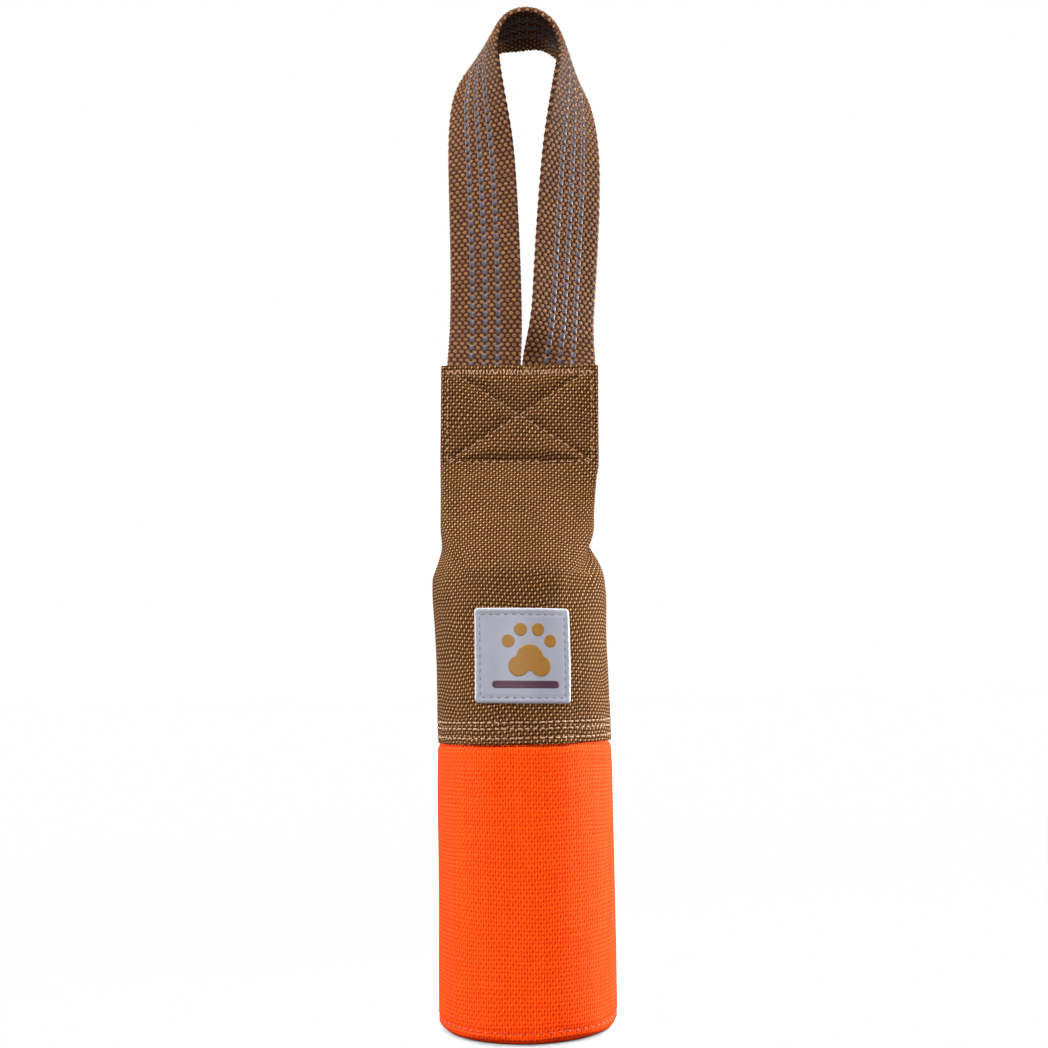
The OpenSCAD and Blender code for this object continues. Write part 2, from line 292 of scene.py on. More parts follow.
class Cloth:
    """A surface to place things on: a grid of points, closed round, by s round it and v up it."""

    def __init__(self, rows, v, circumference):
        self.rows, self.v, self.circumference = rows, v, circumference
        self.normals = normals_of(rows)

    def at(self, s, v, lift=0.0):
        s, v = np.broadcast_arrays(np.asarray(s, float), np.asarray(v, float))
        cols = self.rows.shape[1]
        c = (s / self.circumference * cols) % cols
        r = np.interp(v, self.v, np.arange(len(self.v)))
        i, j = np.floor(c).astype(int), np.minimum(np.floor(r).astype(int), len(self.v) - 2)
        fc, fr = (c - i)[..., None], (r - j)[..., None]

        def blend(g):
            low = g[j, i % cols] * (1 - fc) + g[j, (i + 1) % cols] * fc
            high = g[j + 1, i % cols] * (1 - fc) + g[j + 1, (i + 1) % cols] * fc
            return low * (1 - fr) + high * fr

        normal = unit(blend(self.normals))
        return blend(self.rows) + normal * np.asarray(lift, float)[..., None], normal


def box_lines():
    """The stitched box and its diagonals, as segments in x and z of the closure."""
    x0, x1, z0, z1 = BOX_LOW[0], BOX_HIGH[0], BOX_LOW[2], BOX_HIGH[2]
    return [((x0, z0), (x1, z0)), ((x1, z0), (x1, z1)), ((x1, z1), (x0, z1)), ((x0, z1), (x0, z0)),
            ((x0, z0), (x1, z1)), ((x0, z1), (x1, z0))]


def canvas_relief(s, v):
    """Height of the sewn and lapped details above the plain cloth."""
    a, b = np.meshgrid(s, v)
    z = waist_z(b)
    relief = np.zeros_like(a)
    for side_s in (a, np.where(a > 0, PERIMETER / 2 - a, -PERIMETER / 2 - a)):
        on = smooth((CLOSURE_HALF - 0.6 - np.abs(side_s)) / 0.8) * (z > CLOSURE_Z - 4)
        near = np.full_like(a, 99.0)
        for p0, p1 in box_lines():
            near = np.minimum(near, to_segment(side_s, z, p0, p1)[0])
        inside = smooth((z - BOX_LOW[2]) / 0.6)
        puff = 0.75 * (1 - np.exp(-((near / 3.0) ** 2)))
        puff += 0.45 * hump(z, BOX_LOW[2] + 3.6, 3.0) * smooth(near / 2)
        relief += on * (puff * inside - 0.40 * np.exp(-((near / 0.8) ** 2)))
        relief += on * (0.35 * smooth((z - BOX_HIGH[2] - 1.2) / 0.5) - 0.3 * hump(z, BOX_HIGH[2] + 1.3, 0.5))
    for row in HEM_ROWS:
        relief -= 0.12 * hump(z, row, 0.5)
    relief += 0.10 * smooth((HEM_TOP - z) / 0.8)
    lap = PERIMETER / 2 - a
    relief += FABRIC * smooth((7 - lap) / 1.2) * (a > 0) * smooth((CLOSURE_Z - z) / 3)
    for inset in (1.6, 5.0):
        relief -= 0.14 * hump(lap, inset, 0.5) * (a > 0) * (z < CLOSURE_Z)
    return relief


def brown_canvas(material):
    """The whole brown sleeve, hem to closure, with its edges folded in. Returns it and its surface."""
    cols = 252
    v = np.linspace(0, V_TOP, 196)
    s, rows = canvas_rows(cols, v)
    rows = rows + canvas_relief(s, v)[..., None] * normals_of(rows)
    cloth = Cloth(rows, v, PERIMETER)
    inward = -cloth.normals
    # each row of the turned-in canvas, as its turn in degrees and its distance from the fold
    bottom, bottom_v = [], []
    r = HEM_FOLD_R
    for turn, rise in [(180, TURNED_IN), (180, 5), (180, 1), (150, 0), (110, 0), (60, 0), (25, 0)]:
        p = rows[0] + inward[0] * r * (1 - math.cos(math.radians(turn)))
        p = p + np.array([0, 0, rise + r - r * math.sin(math.radians(turn))])
        bottom.append(p)
        bottom_v.append(-rise - r * math.radians(turn))
    top, top_v = [], []
    in_fold = np.abs(np.abs(s) - PERIMETER / 4) < PERIMETER / 4 - CLOSURE_HALF
    deep = np.where(in_fold, 0.12, TOP_FOLD_R)[:, None]
    for turn, drop in [(30, 0), (60, 0), (95, 0), (130, 0), (180, 0.6), (180, 4.0), (180, 8.0)]:
        p = rows[-1] + inward[-1] * deep * (1 - math.cos(math.radians(turn)))
        p = p + np.array([0, 0, TOP_FOLD_R * math.sin(math.radians(turn)) - drop])
        top.append(p)
        top_v.append(V_TOP + TOP_FOLD_R * math.radians(turn) + drop)
    # the first row is lifted by the fold's radius, so the fold's lowest point is the hem's edge
    rows[0] = rows[0] + np.array([0, 0, HEM_FOLD_R])
    # the weave starts and ends at the back, under the lap seam
    every = np.roll(np.concatenate([np.array(bottom), rows, np.array(top)]), cols // 2, axis=1)
    every_v = np.concatenate([bottom_v, v, top_v])
    columns = np.linspace(-PERIMETER / 2, PERIMETER / 2, cols + 1)
    uv = np.stack(np.meshgrid(columns, every_v), -1)
    return closed_piece("brown_canvas_sleeve", every, uv, material), cloth


# ---------- the orange canvas ----------

ORANGE_R = ORANGE_HIGH[0]


def orange_profile():
    """Radius, height and cut length up the orange sleeve's outside."""
    foot = 3.0                             # radius of the rounded lower edge
    grip_r = -HEM_LOW[0] - FABRIC          # radius under the brown hem
    cut = np.concatenate([np.linspace(0, 5, 9)[:-1], np.linspace(5, 93.5, 104), [98, 104, 110]])
    angle = np.clip(cut / (foot * math.pi / 2), 0, 1) * math.pi / 2
    radius = ORANGE_R - foot + foot * np.sin(angle)
    z = foot - foot * np.cos(angle) + np.clip(cut - foot * math.pi / 2, 0, None)
    pinch = smooth((z - (HEM_Z - 2.2)) / 2.4)
    radius = radius - pinch * (ORANGE_R - grip_r) - 0.2 * smooth(z / HEM_Z)
    radius = np.maximum(radius, np.where(z > 30, grip_r, 0))
    return radius, z, cut


def orange_canvas(material):
    cols = 240
    radius, z, cut = orange_profile()
    girth = 2 * math.pi * ORANGE_R
    s = np.arange(cols) * girth / cols
    phi = 2 * math.pi * s / girth
    a, b = np.meshgrid(s * PERIMETER / girth, z)
    free = smooth(b / 6) * smooth((HEM_Z - 1 - b) / 8)
    r = radius[:, None] + 0.16 * wander(a, b, 7, 60, 9, 11) * free
    rim = smooth(b / 1.5) * smooth((9 - b) / 5)
    r = r + 0.22 * wander(a, b * 0, 13, 60, 8, 5) * rim
    r = r - 0.42 * hump(b, BASE_ROW_Z + 0.1, 0.7)
    lap = girth / 2 - np.abs(s[None, :])
    side = (s[None, :] < girth / 2) & (b < HEM_Z - 1)
    r = r + FABRIC * smooth((6.5 - lap) / 1.2) * side * smooth(b / 4)
    rows = around(r, phi, b)
    rows[..., 2] += 0.16 * (1 + wander(a, b * 0, 11, 60, 6, 21)) * smooth((5 - b) / 5) * smooth(b / 0.6)
    rows[..., 0] += lean(rows[..., 2])
    columns = np.linspace(-girth / 2, girth / 2, cols + 1)
    uv = np.stack(np.meshgrid(columns, cut), -1)
    obj = closed_piece("orange_canvas_sleeve", np.roll(rows, cols // 2, axis=1), uv, material)
    return obj, Cloth(rows, cut, girth), z, cut


def base_disc(material):
    """The round end of the sleeve, puckered a little where it is sewn in."""
    rings, cols = 30, 180
    radius = np.linspace(0.4, DISC_HIGH[0] + 0.55, rings)
    phi = np.arange(cols) * 2 * math.pi / cols
    r, p = np.meshgrid(radius, phi, indexing="ij")
    pucker = smooth((r - DISC_HIGH[0] + 5) / 5)
    z = 0.05 + 0.22 * smooth((DISC_HIGH[0] - 1 - r) / 10) + 0.07 * pucker * (1 + np.sin(p * 41))
    points = around(r, p, z)[::-1]
    faces, corners = capped_grid(rings, cols, first=False)
    uv_p = np.concatenate([points, points[:, :1]], 1)[..., :2]
    return piece("orange_base_disc", points, faces, uv_p, corners, material)


# ---------- thread ----------

def stitches(name, starts, ends, normals, material, radius=0.24, rise=0.22, sink=0.25):
    """Separate stitches, each a short thread that arcs up out of the cloth and dives back in."""
    starts, ends, normals = (np.asarray(x, float).reshape(-1, 3) for x in (starts, ends, normals))
    steps, sides = 9, 8
    t = np.linspace(0, 1, steps)
    turn = np.arange(sides) * 2 * math.pi / sides
    along = ends - starts
    length = np.linalg.norm(along, axis=1)
    side = unit(np.cross(unit(along), normals))
    arc = np.sin(math.pi * t) ** 0.6
    middle = (starts[:, None] + along[:, None] * t[None, :, None]
              + normals[:, None] * ((rise + sink) * arc - sink)[None, :, None])
    thick = radius * (0.35 + 0.65 * np.sin(math.pi * t) ** 0.35)
    ring = (side[:, None, None] * (1.2 * np.cos(turn))[None, None, :, None]
            + normals[:, None, None] * (0.85 * np.sin(turn))[None, None, :, None])
    points = middle[:, :, None] + ring * thick[None, :, None, None]
    faces, corners = capped_grid(steps, sides)
    wide = sides + 1
    all_faces, all_corners = ([[i + k * step for i in face] for k in range(len(starts)) for face in of_one]
                              for of_one, step in ((faces, steps * sides), (corners, steps * wide)))
    u = np.linspace(0, 1, wide)
    uv = np.stack(np.broadcast_arrays(u[None, None, :], (t[None, :, None] * length[:, None, None])), -1)
    return piece(name, points, all_faces, uv, all_corners, material)


def spaced(total, pitch):
    """The middles of evenly pitched stitches along a row."""
    n = max(1, int(round(total / pitch)))
    return (np.arange(n) + 0.5) * total / n


def ring_stitches(name, cloth, v, pitch, share, material, **size):
    """A row of stitches right round a sleeve."""
    mid = spaced(cloth.circumference, pitch)
    wobble = 0.05 * np.sin(mid * 1.7) + 0.04 * np.sin(mid * 0.61 + v)
    half = pitch * share / 2 * (1 + 0.06 * np.sin(mid * 2.3 + v))
    a, _ = cloth.at(mid - half, v + wobble, -0.1)
    b, _ = cloth.at(mid + half, v - wobble, -0.1)
    _, n = cloth.at(mid, v + 0 * mid)
    return stitches(name, a, b, n, material, **size)


def seam_stitches(name, cloth, s, v0, v1, pitch, share, material, **size):
    """A row of stitches up a sleeve."""
    mid = v0 + spaced(v1 - v0, pitch)
    half = pitch * share / 2
    a, _ = cloth.at(s + 0.05 * np.sin(mid), mid - half, FABRIC - 0.2)
    b, _ = cloth.at(s - 0.05 * np.sin(mid), mid + half, FABRIC - 0.2)
    _, n = cloth.at(s + 0 * mid, mid)
    return stitches(name, a, b, n, material, **size)


def box_stitches(name, cloth, back, material):
    """The stitched box and cross on one side of the closure."""
    starts, ends, norms = [], [], []
    for number, (p0, p1) in enumerate(box_lines()):
        p0, p1 = np.array(p0), np.array(p1)
        length = np.linalg.norm(p1 - p0)
        zigzag = number == 2
        share = spaced(length, 1.15 if zigzag else 2.9) / length
        if number > 3:
            share = share[(share > 0.02) & (share < 0.98)]
        half = (0.2 if zigzag else 0.85) / length
        count = np.arange(len(share))
        step = np.sin(count * 2.1 + number) * 0.06
        rise = 1.0 * (-1.0) ** count * zigzag
        step = step - 1.2 * zigzag

        def place(at, up):
            x = p0[0] + (p1[0] - p0[0]) * at
            z = p0[1] + (p1[1] - p0[1]) * at + step + up
            return cloth.at(PERIMETER / 2 - x if back else x, V_CLOSURE + z - CLOSURE_Z)

        starts.extend(place(share - half, -rise)[0])
        ends.extend(place(share + half, rise)[0])
        norms.extend(place(share, 0)[1])
    return stitches(name, starts, ends, norms, material, radius=0.2, rise=0.2)


# ---------- the label ----------

LABEL_TILT = math.radians(-1.5)
LABEL_S = 0.5                              # the label's middle, round the sleeve from the front
LABEL_INSET = 1.9                          # its stitches' distance from its edge


def label_point(cloth, a, b, lift):
    """A point of the label from its own x and z, measured from its middle."""
    c, k = math.cos(LABEL_TILT), math.sin(LABEL_TILT)
    return cloth.at(LABEL_S + a * c - b * k, LABEL_MID_Z + b * c + a * k - HEM_Z, lift)


def label_swell(a, b):
    """The label's slight bulge, which its prints follow."""
    return 0.10 * hump(a, 4, 9) * hump(b, -2, 8)


def label_patch(cloth, material):
    """The label's film with rounded corners, its stitched groove and a skirt down into the cloth."""
    nx, nz = 61, 58
    corner, edge = 1.3, 0.35
    a = np.linspace(-LABEL_HALF_W, LABEL_HALF_W, nx)[None, :] + np.zeros((nz, 1))
    b = np.linspace(-LABEL_HALF_H, LABEL_HALF_H, nz)[:, None] + np.zeros((1, nx))

    ca = np.clip(a, -LABEL_HALF_W + corner, LABEL_HALF_W - corner)
    cb = np.clip(b, -LABEL_HALF_H + corner, LABEL_HALF_H - corner)
    da, db = a - ca, b - cb
    reach = np.maximum(np.maximum(np.abs(da), np.abs(db)), 1e-9)
    scale = np.where(np.hypot(da, db) > 1e-6, reach / np.maximum(np.hypot(da, db), 1e-9), 1)
    ra, rb = ca + da * scale, cb + db * scale
    rim = np.minimum(LABEL_HALF_W - np.abs(a), LABEL_HALF_H - np.abs(b))
    lift = LABEL_T - 0.22 * np.exp(-((rim / edge) ** 2))
    lift += 0.10 * hump(rim, 0.9, 0.5) - 0.16 * hump(rim, LABEL_INSET, 0.45)
    lift += 0.07 * np.sin(a * 2 * math.pi / 2.7) * np.sin(b * 2 * math.pi / 2.7 + 1) * hump(rim, 0.3, 0.8)
    lift += label_swell(a, b)
    top, _ = label_point(cloth, ra, rb, lift)
    faces, _ = grid_faces(nz, nx)
    loop = ([(0, i) for i in range(nx)] + [(j, nx - 1) for j in range(1, nz)]
            + [(nz - 1, i) for i in range(nx - 2, -1, -1)] + [(j, 0) for j in range(nz - 2, 0, -1)])
    lj, li = np.array(loop).T
    low, _ = label_point(cloth, ra[lj, li], rb[lj, li], np.full(len(loop), -0.15))
    base, n = nz * nx, len(loop)
    ring = lj * nx + li
    skirt = [[ring[k], base + k, base + (k + 1) % n, ring[(k + 1) % n]] for k in range(n)]
    points = np.concatenate([top.reshape(-1, 3), low])
    uv = np.concatenate([np.stack([a, b], -1).reshape(-1, 2), np.stack([a[lj, li], b[lj, li]], -1) * 1.02])
    every = [list(f) for f in faces] + skirt
    return piece("label_patch_film", points, every, uv, every, material)


def label_stitches(cloth, material):
    w, h = LABEL_HALF_W - LABEL_INSET, LABEL_HALF_H - LABEL_INSET
    corners = [(-w, -h), (w, -h), (w, h), (-w, h)]
    starts, ends, norms = [], [], []
    for k in range(4):
        p0, p1 = np.array(corners[k]), np.array(corners[(k + 1) % 4])
        length = np.linalg.norm(p1 - p0)
        share = (np.arange(11) + 0.5) / 11
        half = 0.85 / length

        def place(at):
            q = p0 + (p1 - p0) * at[:, None]
            return label_point(cloth, q[:, 0], q[:, 1], np.full(len(q), LABEL_T - 0.16))

        starts.extend(place(share - half)[0])
        ends.extend(place(share + half)[0])
        norms.extend(place(share)[1])
    return stitches("label_stitches", starts, ends, norms, material, radius=0.19, rise=0.14)


def printed(name, cloth, outlines, material, flatness=1.0):
    """Films of ink on the label. Each outline is (centre x, centre z, radius at an angle).

    flatness is height over width, and puts the points where a long outline bends most.
    """
    rings, cols = 8, 72
    step = np.arange(cols) * 2 * math.pi / cols
    turn = np.arctan2(flatness * np.sin(step), np.cos(step))
    points, faces, uv = [], [], []
    for x, z, reach in outlines:
        r = np.array([reach(t) for t in turn])
        share = np.array([0.03, 0.25, 0.5, 0.7, 0.85, 0.94, 0.985, 1.0])
        lift = LABEL_T + np.array([0.12, 0.12, 0.12, 0.12, 0.115, 0.11, 0.08, -0.12])
        a = x + share[:, None] * r * np.cos(turn)
        b = z + share[:, None] * r * np.sin(turn)
        grid, _ = label_point(cloth, a, b, lift[:, None] + 0 * a + label_swell(a, b))
        base = sum(len(p) for p in points)
        f, _ = grid_faces(rings, cols, True)
        faces += [[base + k for k in q[::-1]] for q in f]
        faces.append([base + i for i in range(cols)])
        points.append(grid.reshape(-1, 3))
        uv.append(np.stack([a, b], -1).reshape(-1, 2))
    uv = np.concatenate(uv)
    return piece(name, np.concatenate(points), faces, uv, faces, material)


def circle_reach(cx, cz, r):
    """How far a ray from the origin goes to the far side of a circle, or 0 where it misses."""
    def reach(t):
        along = cx * math.cos(t) + cz * math.sin(t)
        off = (cx**2 + cz**2) - along**2
        return along + math.sqrt(r * r - off) if off < r * r else 0.0
    return reach


def emblem(cloth, material):
    """A paw print: a heel pad of three lobes and four toes."""
    toe_r, toe_out, toe_turns = 0.2, 0.72, (-64, -22, 22, 64)
    half_w = toe_out * math.sin(math.radians(toe_turns[-1])) + toe_r
    size = (EMBLEM_HIGH[0] - EMBLEM_LOW[0]) / 2 / half_w
    x = (EMBLEM_HIGH[0] + EMBLEM_LOW[0]) / 2
    z = EMBLEM_HIGH[2] - size * (toe_out * math.cos(math.radians(toe_turns[1])) + toe_r) - LABEL_MID_Z
    drop = -0.3
    lobes = [circle_reach(0, (-0.2 - drop) * size, 0.42 * size)]
    lobes += [circle_reach(side * 0.34 * size, (-0.46 - drop) * size, 0.32 * size) for side in (-1, 1)]
    shapes = [(x, z + drop * size, lambda t: max(lobe(t) for lobe in lobes))]
    for turn in toe_turns:
        k = math.radians(turn)
        shapes.append((x - toe_out * size * math.sin(k), z + toe_out * size * math.cos(k),
                       lambda t: toe_r * size))
    return printed("emblem_paw_print", cloth, shapes, material)


def bar(cloth, material):
    """The plain bar under the emblem, with round ends."""
    x = (BAR_HIGH[0] + BAR_LOW[0]) / 2
    w, h = (BAR_HIGH[0] - BAR_LOW[0]) / 2, (BAR_HIGH[2] - BAR_LOW[2]) / 2

    def reach(t):
        c, k = abs(math.cos(t)), abs(math.sin(t))
        if k * (w - h) <= c * h:
            along = (w - h) * c
            return along + math.sqrt(max(h * h - ((w - h) ** 2 - along**2), 0))
        return h / k
    z = (BAR_HIGH[2] + BAR_LOW[2]) / 2 - LABEL_MID_Z
    return printed("label_bar_print", cloth, [(x, z, reach)], material, flatness=h / w)


# ---------- the webbing handle ----------

RIBS = 11
RIB = 2 * WEB_HALF / RIBS
FLOAT_PITCH = 3.06                         # from one float to the next along a rib
UNDER = 16 * RIB                           # where the inner face starts in the strap's own coordinates
YARN_RIBS = (-2, 0, 2)

# x, z and turn of the strap's width in degrees, from the left tail over the arch to the right tail
STRAP_KEYS = [
    (-12.0, TAIL_LOW[2], 0), (-11.8, 206, 0), (-11.4, 220, 0), (-10.7, 230, 5), (-10.2, 247, 12),
    (-10.3, 267, 16), (-10.7, 285, 19), (-11.3, 302, 25), (-12.0, 315, 36), (-12.1, 324, 46),
    (-10.9, 333, 60), (-6.9, 342.2, 76), (-1.2, 347.3, 86), (5.6, 348.7, 90),
    (12.8, 346.6, 88), (18.4, 340.6, 83), (21.2, 332.5, 75), (22.2, 324, 62), (22.2, 315, 51),
    (21.5, 302, 39.5), (20.3, 284, 32.5), (18.9, 266, 30.5), (17.6, 249, 31), (16.6, 237, 29),
    (15.8, 229, 19), (15.0, 221, 3), (14.8, 206, 0), (14.6, TAIL_LOW[2], 0)]


def way_along(path):
    """The distance along a path in x and z to each of its points."""
    return np.concatenate([[0], np.cumsum(np.hypot(np.diff(path[:, 0]), np.diff(path[:, 1])))])


def spline(knots, values, at):
    """A natural cubic spline through values at knots."""
    n = len(knots)
    h = np.diff(knots)
    m = np.eye(n)
    rhs = np.zeros((n, values.shape[1]))
    for i in range(1, n - 1):
        m[i, i - 1], m[i, i], m[i, i + 1] = h[i - 1], 2 * (h[i - 1] + h[i]), h[i]
        rhs[i] = 6 * ((values[i + 1] - values[i]) / h[i] - (values[i] - values[i - 1]) / h[i - 1])
    curve = np.linalg.solve(m, rhs)
    k = np.clip(np.searchsorted(knots, at) - 1, 0, n - 2)
    a, b, w = (at - knots[k])[:, None], (knots[k + 1] - at)[:, None], h[k][:, None]
    return (curve[k] * b**3 / (6 * w) + curve[k + 1] * a**3 / (6 * w)
            + (values[k] / w - curve[k] * w / 6) * b + (values[k + 1] / w - curve[k + 1] * w / 6) * a)


class Strap:
    """The strap's route: its middle line, and at each place its width's and its outer face's direction."""

    def __init__(self):
        keys = np.array(STRAP_KEYS, float)
        knots = way_along(keys)
        fine = np.linspace(0, knots[-1], 4000)
        line = spline(knots, keys, fine)
        along = way_along(line)
        self.length = along[-1]
        self.l = np.linspace(0, self.length, 2000)
        self.line = np.stack([np.interp(self.l, along, line[:, k]) for k in range(3)], -1)

    def frame(self, l):
        x, z, turn = (np.interp(l, self.l, self.line[:, k]) for k in range(3))
        d = 0.8
        tx = np.interp(l + d, self.l, self.line[:, 0]) - np.interp(l - d, self.l, self.line[:, 0])
        tz = np.interp(l + d, self.l, self.line[:, 1]) - np.interp(l - d, self.l, self.line[:, 1])
        size = np.hypot(tx, tz)
        tx, tz = tx / size, tz / size
        zero = np.zeros_like(tx)
        inward = np.stack([tz, zero, -tx], -1)
        front = np.stack([zero, zero - 1, zero], -1)
        c, k = np.cos(np.radians(turn))[..., None], np.sin(np.radians(turn))[..., None]
        middle = np.stack([x, zero, z], -1)
        return middle, c * inward + k * front, c * front - k * inward, turn

    def point(self, l, u, lift):
        """u runs across the strap to its inner edge, lift is out of its outer face."""
        middle, across, out, turn = self.frame(l)
        cup = 0.9 * smooth((turn - 30) / 50) * (u / WEB_HALF) ** 2
        lift = lift - cup
        place = middle + u[..., None] * across + lift[..., None] * out
        # the loop nods back a little over its top
        top = smooth((turn - 40) / 45)
        nod = 0.10 + 0.07 * hump(place[..., 0], 2.5, 7)
        place[..., 2] -= nod * top * (place[..., 1] + WEB_HALF)
        # and its front edge rolls down
        roll = np.clip((4.0 - WEB_HALF - place[..., 1]) / 4.0, 0, 1)
        place[..., 2] -= 2.0 * top * roll**2 - 1.0 * top
        return place


def float_height(l, u, stagger):
    """The round floats of the webbing's weave, set in a brick pattern, from 0 in the gaps to 1 on top."""
    height = np.zeros(np.broadcast(l, u).shape)
    for shift in (0.0, 0.5):
        across = u / RIB + 0.5 * RIBS + 0.5 + shift
        along = l / FLOAT_PITCH + shift + stagger
        d = ((across - np.round(across)) * 2.4) ** 2 + ((along - np.round(along)) * 3.9) ** 2
        height = np.maximum(height, np.clip(1 - d, 0, 1) ** 0.5)
    return height


def webbing(strap, material):
    """The woven strap: both faces with their pillows, and rounded edges."""
    l = np.arange(0, strap.length, FLOAT_PITCH / 7)[:, None]
    base, high = STRAP_T / 2 - 0.15, 0.5
    faces_of = []
    for per, side, stagger in ((6, 1, 0.0), (4, -1, 0.5)):
        u = np.linspace(-WEB_HALF, WEB_HALF, per * RIBS + 1)[None, :]
        edge = np.minimum(WEB_HALF - np.abs(u), 0.6) / 0.6
        lift = base * (0.35 + 0.65 * edge) + high * float_height(l, u, stagger)
        for rib in YARN_RIBS:
            lift = np.where(np.abs(u / RIB - rib) < 0.40, base + 0.10, lift)
        ll, uu = np.broadcast_arrays(l, u)
        faces_of.append((strap.point(ll, uu, side * lift), u[0]))
    (top, u_top), (low, u_low) = faces_of
    end = WEB_HALF + 0.3 * np.abs(np.sin(2 * math.pi * l / FLOAT_PITCH))
    right = strap.point(l, end, 0 * end)
    left = strap.point(l, -end, 0 * end)
    rows = np.concatenate([top, right, low[:, ::-1], left], 1)
    cols = rows.shape[1]
    across = np.concatenate([u_top, [WEB_HALF + 0.5], u_low[::-1] + UNDER, [UNDER - WEB_HALF - 0.5],
                             [-WEB_HALF - 0.5]])
    uv = np.stack(np.broadcast_arrays(across[None, :], l), -1)
    faces, corners = capped_grid(len(l), cols, flip=True)
    return piece("woven_handle_strap", rows, faces, uv, corners, material)


def reflective_yarns(strap, material):
    """The pale yarns' floats, on both faces of the strap."""
    nl, nu = 9, 7
    blocks, uvs, faces = [], [], []
    f, _ = grid_faces(nl, nu)
    base = 0
    q = np.linspace(-1, 1, nl)[:, None] + np.zeros((1, nu))
    p = np.linspace(-1, 1, nu)[None, :] + np.zeros((nl, 1))
    body = ((1 - np.abs(q) ** 3) * (1 - np.abs(p) ** 2.6)) ** 0.5
    count = int(strap.length / FLOAT_PITCH) - 1
    for face, stagger in ((1, 0.0), (-1, 0.5)):
        for rib in YARN_RIBS:
            for k in range(count):
                mid = (k + 1 + stagger) * FLOAT_PITCH
                l = mid + q * 1.42
                u = rib * RIB + p * (0.5 * RIB - 0.02) * (1 - 0.16 * np.abs(q) ** 3)
                lift = STRAP_T / 2 - 0.25 + 0.62 * body
                grid = strap.point(l, u, face * lift)
                blocks.append(grid.reshape(-1, 3))
                uvs.append(np.stack([u, l], -1).reshape(-1, 2))
                order = f if face < 0 else f[:, ::-1]
                faces.append(order + base)
                base += nl * nu
    faces = np.concatenate(faces)
    points, uv = np.concatenate(blocks), np.concatenate(uvs)
    return piece("reflective_yarn_floats", points, faces, uv, faces, material)


# ---------- the foam core ----------

def foam_core(material):
    """The cut foam cylinder inside the sleeves."""
    cols, r_edge = 96, 2.5
    radius, low, high = CORE_HIGH[0], CORE_LOW[2], CORE_HIGH[2]
    arc = np.linspace(0, math.pi / 2, 6)
    r = np.concatenate([[0.5, 9, 18], radius - r_edge + r_edge * np.sin(arc), np.full(30, radius),
                        radius - r_edge + r_edge * np.cos(arc), [18, 9, 0.5]])
    z = np.concatenate([[low] * 3, low + r_edge - r_edge * np.cos(arc),
                        np.linspace(low + r_edge, high - r_edge, 32)[1:-1],
                        high - r_edge + r_edge * np.sin(arc), [high] * 3])
    phi = np.arange(cols) * 2 * math.pi / cols
    uneven = 0.06 * wander(phi[None, :] * SLEEVE_R, z[:, None], 9, 30, 8, 2) * (r[:, None] > 20)
    rr = r[:, None] - 0.12 - uneven
    rows = around(rr, phi, z[:, None] + 0 * rr)
    rows[..., 0] += lean(rows[..., 2]) * smooth((rows[..., 2]) / 30)
    uv = np.stack(np.meshgrid(np.linspace(0, 2 * math.pi * radius, cols + 1), z), -1)
    faces, corners = capped_grid(len(r), cols)
    return piece("foam_core_body", rows, faces, uv, corners, material)


# ---------- materials ----------

def srgb(r, g, b):
    def line(c):
        c /= 255
        return c / 12.92 if c <= 0.04045 else ((c + 0.055) / 1.055) ** 2.4
    return (line(r), line(g), line(b), 1)


BLACK, WHITE = (0, 0, 0, 1), (1, 1, 1, 1)


